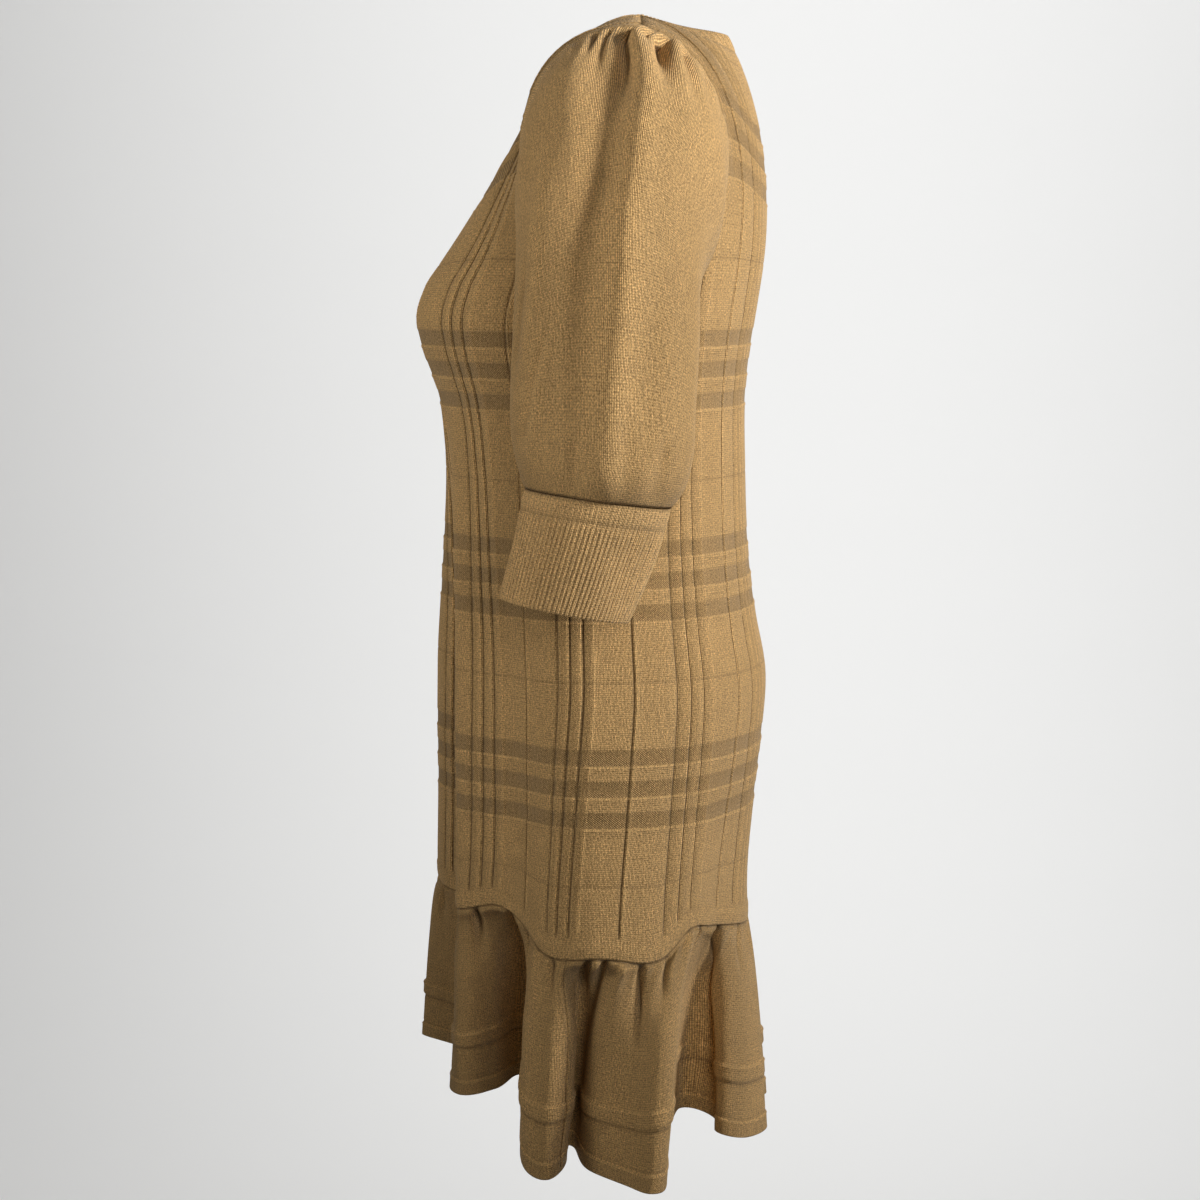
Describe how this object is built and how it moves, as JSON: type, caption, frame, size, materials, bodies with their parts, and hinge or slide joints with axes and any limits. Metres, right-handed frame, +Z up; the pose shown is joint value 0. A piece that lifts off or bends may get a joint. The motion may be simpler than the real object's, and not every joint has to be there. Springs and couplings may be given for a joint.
{
  "type": "sweater dress",
  "caption": "Short knitted dress in worn form: round rib neck, puffed elbow sleeves with deep rib cuffs, self-colour check body and a gathered flounce.",
  "frame": {"origin": "between the inner ends of the two shoulder seams, where the wearer's shoulders carry the dress", "axes": "+Z up, -Y the way the front faces, +X to the wearer's left"},
  "size_m": [0.5778, 0.2889, 0.8979],
  "materials": {
    "knit": "matte fine-gauge knit",
    "rib": "matte rib knit"
  },
  "bodies": {
    "root": {"front_body": "knit", "back_body": "knit", "neck_band": "rib", "sleeve_left": "knit", "sleeve_right": "knit", "cuff_left": "rib", "cuff_right": "rib", "flounce_front": "knit", "flounce_back": "knit"}
  },
  "joints": []
}
